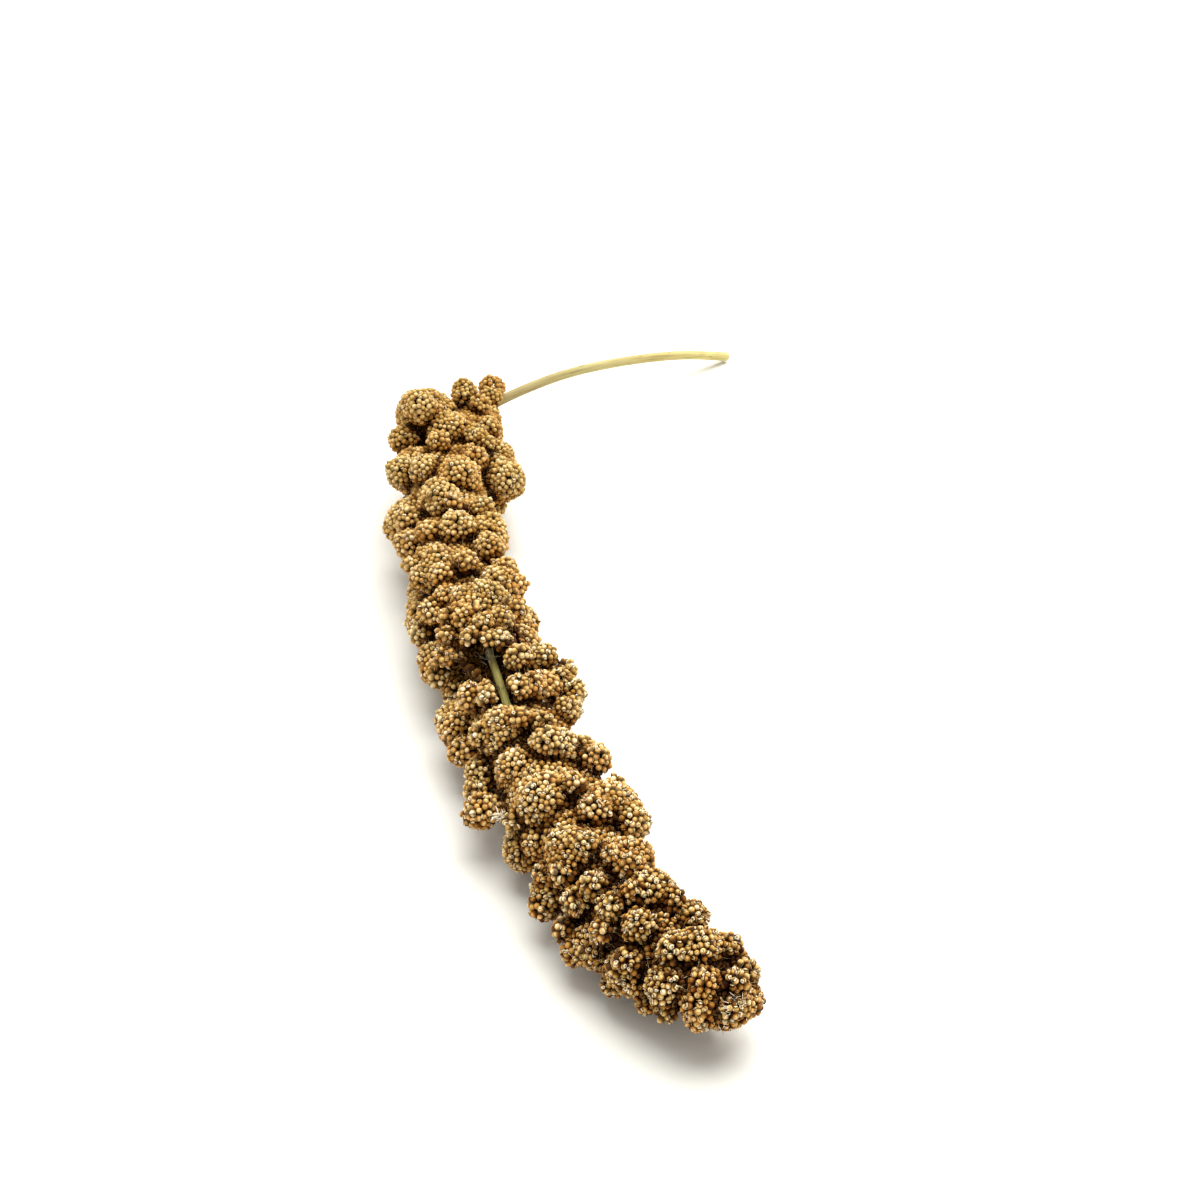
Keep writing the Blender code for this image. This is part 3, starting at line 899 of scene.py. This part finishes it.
# %% Husk scales
HUSK_SHARE = ((-170, 20), (0.34, 0.09))
HUSK_REACH = math.radians(58)
HUSK_FROM, HUSK_TO = math.radians(112), math.radians(48)
HUSK_TAPER = 0.65
HUSK_FLARE = (1.08, 0.14)
HUSK_THICKNESS = 0.06
HUSK_ROOM = 1.02
HUSK_FLOOR = 2.0
PALEST_HUSK = 0.85


def husk_template():
    """A thin scale that hugs a ball of radius 1 on its +X side."""
    bm = bmesh.new()
    bmesh.ops.create_grid(bm, x_segments=2, y_segments=2, size=1.0)
    for vert in bm.verts:
        rise = (vert.co.y + 1) / 2
        turn = vert.co.x * HUSK_REACH * (1 - HUSK_TAPER * rise**2)
        polar = HUSK_FROM + (HUSK_TO - HUSK_FROM) * rise
        ring = math.sin(polar)
        vert.co = Vector((ring * math.cos(turn), ring * math.sin(turn), math.cos(polar)))
        vert.co *= HUSK_FLARE[0] + HUSK_FLARE[1] * rise**2
    bmesh.ops.solidify(bm, geom=bm.faces[:], thickness=HUSK_THICKNESS)
    bmesh.ops.recalc_face_normals(bm, faces=bm.faces[:])
    return mesh_from(bm, "husk_template")


def husk_material():
    """Pale, papery husk."""
    material, tree, shader = new_material("papery_husk", 0.55)
    place = own_place(tree)
    colour = ramp(tree, attribute(tree, "tint"), (
        (0.0, (0.38, 0.22, 0.07)), (0.45, (0.62, 0.44, 0.18)),
        (0.85, (0.88, 0.76, 0.48)), (1.0, (0.97, 0.93, 0.80)),
    ))
    veins = ramp(tree, noise(tree, place, 4200, 2), ((0.35, 0.8), (0.65, 1.1)))
    tree.links.new(multiply(tree, colour, veins), shader.inputs["Base Color"])
    dent(tree, shader, noise(tree, place, 5000), 0.00004, 0.5)
    return material


def make_husks():
    """One scale on each of a random share of the grains."""
    these = grain_draw.uniform(0, 1, len(grain_centres)) < np.interp(grain_centres[:, 1], *HUSK_SHARE)
    these &= grain_centres[:, 2] > HUSK_FLOOR
    pile = Pile()
    pile.add(husk_template(), grain_centres[these], grain_turns[these], grain_sizes[these] * HUSK_ROOM,
             tint=PALEST_HUSK * grain_draw.beta(1.6, 1.6, these.sum()))
    return pile.piece("husks", HUSK)


HUSK = husk_material()
husks = make_husks()

# %% [markdown]
# ## Tufts, bristles and slivers
#
# Broken husk ends stand up as pale slivers, every spikelet has a few fine bristles, and where a branch
# broke off a tuft of pale fibre is left. All three are thin cones with three sides. They soften the
# outline of the head.

# %% A needle, and tufts of needles
TUFTS = (
    (151, 105, 5.0, 26, 4.2, 0.08), (148, 147, 15.5, 8, 2.8, 0.06), (149, 155, 16, 8, 2.8, 0.06),
    (136, 77, 16.5, 7, 2.6, 0.06), (141, 105, 1.5, 12, 3.0, 0.10), (88, 164, 16.2, 24, 2.7, 0.28),
    (84, 137, 15, 5, 2.0, 0.18), (47, 107, 9.5, 9, 2.2, 0.16), (6, 135, 7.5, 18, 2.4, 0.13),
    (6, 110, 6.0, 14, 2.2, 0.13), (12, 163, 11, 8, 2.6, 0.07), (118, 25, 17.5, 7, 3.6, 0.06),
    (93, 39, 14.5, 7, 3.2, 0.06), (17, 49, 12, 6, 3.0, 0.06), (70, 15, 16, 8, 3.4, 0.06),
)
TUFT_BEND = 1.8
TUFT_SPREAD = 0.7
TUFT_TILT = 0.7
NEEDLE_POINT = 0.12


def needle_template(bend):
    """A thin three-sided cone from z = 0 to z = 1, bent to +X."""
    bm = bmesh.new()
    bmesh.ops.create_cone(bm, cap_ends=True, segments=3, radius1=1.0, radius2=NEEDLE_POINT, depth=1.0)
    bmesh.ops.translate(bm, verts=bm.verts, vec=(0, 0, 0.5))
    sides = [edge for edge in bm.edges if abs(edge.verts[0].co.z - edge.verts[1].co.z) > 0.5]
    bmesh.ops.subdivide_edges(bm, edges=sides, cuts=1)
    for vert in bm.verts:
        vert.co.x += bend * vert.co.z**2
    return mesh_from(bm, "needle_template")


def make_tufts():
    """Tufts of fibre, each given by its place, turn, rise over the axis, count, length and half thickness."""
    pile = Pile()
    needle = needle_template(TUFT_BEND)
    for place, turn, rise, count, length, thick in TUFTS:
        way = outward(place, turn)
        foot = axis_point(place) + way * rise + grain_draw.normal(0, TUFT_SPREAD, (count, 3))
        turns = tilted(np.tile(way, (count, 1)), TUFT_TILT)
        half = grain_draw.uniform(0.7, 1.2, count) * thick
        long = grain_draw.uniform(0.5, 1, count) * length
        sizes = np.stack([half, half, long], 1)
        pile.add(needle, foot, turns, sizes, tint=grain_draw.uniform(PALEST_HUSK, 1, count))
    return pile.piece("tufts", HUSK)


tufts = make_tufts()

# %% Needles all over the head
BRISTLES = 3200
SLIVERS = 1300
NEEDLE_FLOOR = 3.0
NEEDLE_SIDE = 0.8


def needles(name, count, length, thickness, tilt, bend):
    """Needles that stand on random grains, as one piece."""
    free = np.flatnonzero(grain_centres[:, 2] > NEEDLE_FLOOR)
    these = grain_draw.choice(free, count, replace=False)
    turns = tilted(grain_turns[these][:, :, 2], tilt)
    long = grain_draw.uniform(*length, count)
    thick = grain_draw.uniform(*thickness, count)
    side = grain_turns[these][:, :, 0] * grain_sizes[these, :1] * NEEDLE_SIDE
    pile = Pile()
    pile.add(needle_template(bend), grain_centres[these] + side, turns, np.stack([thick, thick, long], 1),
             tint=grain_draw.uniform(0, PALEST_HUSK, count))
    return pile.piece(name, HUSK)


bristles = needles("bristles", BRISTLES, length=(1.4, 3.2), thickness=(0.035, 0.06), tilt=0.5, bend=2.5)
slivers = needles("slivers", SLIVERS, length=(1.1, 2.0), thickness=(0.09, 0.17), tilt=0.7, bend=0.8)

# %% [markdown]
# ## Under the grains
#
# Between the grains the eye falls on the feet of the husks. A copy of the solid head, drawn in by a little
# more than a grain, closes those spaces; it is nearly black, the stained husk feet darkened further as
# painted shade. In the gap its points are pressed down, because a Boolean cut fails on a surface that
# crosses itself.

# %% The bed of the grains
BED_DEPTH = 2.2


def press_down(verts, gap):
    """Presses points down under the floor of a gap, the lower half of a stretched ball."""
    half = gap.half + BED_DEPTH
    for vert in verts:
        along, across, rise = (np.array(vert.co) / MM - gap.centre) @ gap.turn / half
        room = 1 - along**2 - across**2
        if room > 0 and rise > -math.sqrt(room):
            low = half * (along, across, -math.sqrt(room))
            vert.co = Vector(gap.centre + gap.turn @ low) * MM


def bed_material():
    """Stained husk feet, nearly black with painted shade."""
    material, tree, shader = new_material("stained_husk_feet", 0.9, 0.0)
    place = own_place(tree)
    # Nearly black: the stained husk feet, darkened further as painted shade.
    stain = ramp(tree, noise(tree, place, 700, 3), (
        (0.3, (0.010, 0.004, 0.002)), (0.7, (0.045, 0.020, 0.008)),
    ))
    tree.links.new(stain, shader.inputs["Base Color"])
    dent(tree, shader, noise(tree, place, 1500, 3), 0.0003, 0.8)
    return material


def make_bed():
    """The solid head, drawn in under the grains."""
    bm = bmesh.new()
    bm.from_mesh(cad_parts["grain_head"].data)
    bmesh.ops.remove_doubles(bm, verts=bm.verts, dist=0.00001)
    bm.normal_update()
    for vert in bm.verts:
        vert.co -= vert.normal * BED_DEPTH * MM
    for gap in (WINDOW, CLEFT):
        press_down(bm.verts, gap)
    mesh = mesh_from(bm, "grain_bed")
    mesh.materials.append(bed_material())
    return add_object("grain_bed", mesh)


bed = make_bed()
print("grain_bed", len(bed.data.polygons), "triangles")

# %% [markdown]
# ## Grains on the bare bed
#
# From the side, the bed shows bare in the gap. So a lattice of points is laid on its faces there, and
# those that no grain, lump or stem covers are thinned out and get a grain each.

# %% The last grains
BARE_REACH = 30.0
BARE_ROOM = 1.2
BARE_LIFT = 0.7
BARE_FLOOR = 2.0
BARE_WIDTH = (0.72, 0.92)
BARE_TINT = (0.2, 0.9)
STEM_ROOM = 2.8
LATTICE_STEPS = 7
LATTICE = [(a / LATTICE_STEPS, b / LATTICE_STEPS) for a in range(8) for b in range(8 - a)]


def bare_spots():
    """Points just over the bed round the gap, where no grain is yet, and the way out at each."""
    spots, ways = [], []
    centre = Vector(WINDOW.centre) * MM
    for face in bed.data.polygons:
        if (face.center - centre).length < BARE_REACH * MM:
            first, second, third = (np.array(bed.data.vertices[v].co) / MM for v in face.vertices)
            spots += [first + a * (second - first) + b * (third - first) for a, b in LATTICE]
            ways += [np.array(face.normal)] * len(LATTICE)
    spots = np.array(spots) + BARE_LIFT * np.array(ways)
    tree = tree_of(grain_centres)
    bare = np.array([tree.find(spot)[2] > BARE_ROOM for spot in spots])
    bare &= off_axis(spots, STEM_ROOM) & (on_lumps(spots)[0] > 0) & (spots[:, 2] > BARE_FLOOR)
    spots, ways = spots[bare], np.array(ways)[bare]
    kept = kept_apart(spots, KEEP_APART * PITCH, range(len(spots)))
    return spots[kept], ways[kept]


def make_bare_grains():
    """The grains that cover the bare bed round the gap."""
    spots, ways = bare_spots()
    count = len(spots)
    pile = Pile()
    sizes = grain_draw.uniform(*BARE_WIDTH, (count, 1)) * np.ones(3)
    # A full foot and a random depth give these grains painted shade, like the walls of the gap.
    pile.add(GRAIN_TEMPLATES[0], spots, tilted(ways, TILT), sizes, tint=grain_draw.uniform(*BARE_TINT, count),
             tone=np.full(count, 0.5), seam=np.zeros(count), slit=np.zeros(count), stain=np.ones(count),
             depth=grain_draw.uniform(*WALL_PAINTED_SHADE, count))
    return pile.piece("grains_6", GRAIN_HULL)


bare_grains = make_bare_grains()

# %% [markdown]
# ## The straw stem
#
# The stem is a round straw with fine ribs. It is drawn out ring by ring: each extrusion of the end edge is
# laid on the next station of the axis. A cut with a sunken pith closes the far end. Each point carries its
# side and station, so the streaks follow the fibres round every bend.

# %% The stalk
STEM_START = 22.0
STEM_RADIUS = 1.65
STEM_RADIUS_AT_TIP = 0.8
STALK_SIDES = 24
STALK_STEP = 2.5
RIBS = 8
RIB_DEPTH = 0.035
RIB_TWIST = 60
WOBBLE = 0.02
WOBBLE_LENGTH = 7
PITH_RIM = 0.0004
PITH_DEPTH = 0.0003
SHARP_ANGLE = math.radians(45)
SIDE_ANGLES = [2 * math.pi * k / STALK_SIDES for k in range(STALK_SIDES)]


def stem_radius(s):
    """The stem's radius at a distance from the tip, thinner toward the tip."""
    return float(np.interp(s, (STEM_START, HEAD_LENGTH), (STEM_RADIUS_AT_TIP, STEM_RADIUS)))


def ring_point(s, angle):
    """The point of the stem's skin at a station and an angle, with its ribs."""
    _, right, up = axis_frame(s)
    ribs = 1 + RIB_DEPTH * math.cos(RIBS * angle + s / RIB_TWIST)
    radius = stem_radius(s) * (ribs + WOBBLE * math.sin(s / WOBBLE_LENGTH + angle))
    return axis_point(s) + (right * math.cos(angle) + up * math.sin(angle)) * radius


def make_stalk():
    """The stem and the axis inside the head, as one tube with a cut end."""
    bm = bmesh.new()
    fibre = bm.verts.layers.float_vector.new("fibre")
    stations = np.append(np.arange(STEM_START, STEM_END - 1, STALK_STEP), STEM_END)
    ring = bmesh.ops.create_circle(bm, cap_ends=False, segments=STALK_SIDES, radius=1.0)["verts"]
    for number, s in enumerate(stations):
        if number:
            edges = [e for e in bm.edges if e.verts[0] in ring and e.verts[1] in ring]
            grown = bmesh.ops.extrude_edge_only(bm, edges=edges)["geom"]
            new = [g for g in grown if isinstance(g, bmesh.types.BMVert)]
            after = {next(e.other_vert(v) for e in v.link_edges if e.other_vert(v) in ring): v for v in new}
            ring = [after[v] for v in ring]
        for angle, vert in zip(SIDE_ANGLES, ring):
            vert.co = Vector(ring_point(s, angle)) * MM
            vert[fibre] = (math.cos(angle), math.sin(angle), s)
        if number == 0:
            bmesh.ops.contextual_create(bm, geom=ring)
    end = bmesh.ops.contextual_create(bm, geom=ring)["faces"]
    bmesh.ops.inset_region(bm, faces=end, thickness=PITH_RIM)
    bmesh.ops.translate(bm, verts=end[0].verts, vec=-Vector(axis_frame(STEM_END - 1)[0]) * PITH_DEPTH)
    bmesh.ops.recalc_face_normals(bm, faces=bm.faces[:])
    mesh = mesh_from(bm, "straw_stalk")
    mesh.shade_smooth()
    mesh.set_sharp_from_angle(angle=SHARP_ANGLE)
    return add_object("straw_stalk", mesh)


# %% Dry straw
STREAKS = (0.03, 0.12)


def straw_material():
    """Pale straw with darker streaks along the stem, browner at its neck, and painted light inside the head.
    """
    material, tree, shader = new_material("dry_straw", 0.5, 0.1)
    fibre = attribute(tree, "fibre", "Vector")
    scaled = [add_node(tree, "Mapping", {"Vector": fibre, "Scale": (1, 1, along)}) for along in STREAKS]
    long, short = (node.outputs["Vector"] for node in scaled)
    colour = ramp(tree, noise(tree, long, 3.0, 4), (
        (0.25, (0.32, 0.25, 0.09)), (0.45, (0.46, 0.38, 0.14)),
        (0.6, (0.54, 0.45, 0.19)), (0.8, (0.44, 0.38, 0.14)),
    ))
    blotch = ramp(tree, noise(tree, short, 1.4, 3), ((0.24, (0.40, 0.33, 0.20)), (0.36, 1)))
    colour = multiply(tree, colour, blotch)
    station = add_node(tree, "SeparateXYZ", {"Vector": fibre}).outputs["Z"]
    neck = HEAD_LENGTH / STEM_END
    # Along the stem: inside the head the straw is painted nearly twice as pale, painted light on the axis in
    # the gap's shade; darker at the neck, paler toward the cut end.
    along_stem_with_painted_light = ramp(tree, work_out(tree, "DIVIDE", station, STEM_END), (
        (neck - 0.12, (1.8, 1.9, 1.5)), (neck - 0.02, (0.5, 0.46, 0.40)), (neck + 0.03, (0.79, 0.75, 0.84)),
        (neck + 0.10, (1.04, 1.07, 1.16)), (neck + 0.17, (1.05, 1.02, 0.98)), (1, (1.45, 1.5, 1.55)),
    ))
    tree.links.new(multiply(tree, colour, along_stem_with_painted_light), shader.inputs["Base Color"])
    dent(tree, shader, noise(tree, long, 9.0, 3), 0.0001, 0.6)
    return material


stalk = make_stalk()
stalk.data.materials.append(straw_material())
print("stalk", len(stalk.data.polygons), "faces")

# %% [markdown]
# ## Riding on the solid model
#
# The head has no moving pieces, so every piece rides on its one body. The grains stand for the solid head,
# and the ribbed stalk for the solid stalk.

# %% Bodies, and the solid nodes that the pieces stand for
for piece in [*grain_pieces, bare_grains, husks, tufts, bristles, slivers, bed]:
    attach(piece, "root")
    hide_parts("grain_head")
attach(stalk, "root")
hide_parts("stalk")

# %% [markdown]
# ## Floor, light and camera
#
# A white table in a bright room: one large soft light from above and behind, a little from the right,
# gives the pale crowns and dark clefts, and the white surroundings fill the shadows.

# %% The studio
FLOOR_COLOUR = (0.78, 0.77, 0.71, 1)
ROOM_LIGHT = 0.7
CAMERA_AT = (0.0101, -0.5033, 0.350)
CAMERA_DOWN = 34.0
LENS, SENSOR = 60, 36


def make_floor():
    """A wide pale floor."""
    bm = bmesh.new()
    bmesh.ops.create_grid(bm, x_segments=1, y_segments=1, size=3.0)
    mesh = mesh_from(bm, "floor")
    material, _, shader = new_material("pale_floor", 0.7)
    shader.inputs["Base Color"].default_value = FLOOR_COLOUR
    mesh.materials.append(material)
    add_object("floor", mesh)


make_floor()
light = bpy.data.lights.new("key_light", "SUN")
light.energy = 4.6
light.angle = math.radians(65)
add_object("key_light", light).rotation_euler = (math.radians(-22), math.radians(8), 0)
world = bpy.data.worlds.new("bright_room")
world.use_nodes = True
room = world.node_tree.nodes["Background"].inputs
room["Color"].default_value = (1, 1, 1, 1)
room["Strength"].default_value = ROOM_LIGHT
bpy.context.scene.world = world
bpy.context.scene.view_settings.view_transform = "Standard"
camera = add_object("camera", bpy.data.cameras.new("camera"))
camera.data.lens = LENS
camera.data.sensor_width = SENSOR
camera.location = CAMERA_AT
camera.rotation_euler = (math.radians(90 - CAMERA_DOWN), 0, 0)
bpy.context.scene.camera = camera
print("camera at", CAMERA_AT, "looking", CAMERA_DOWN, "degrees down")
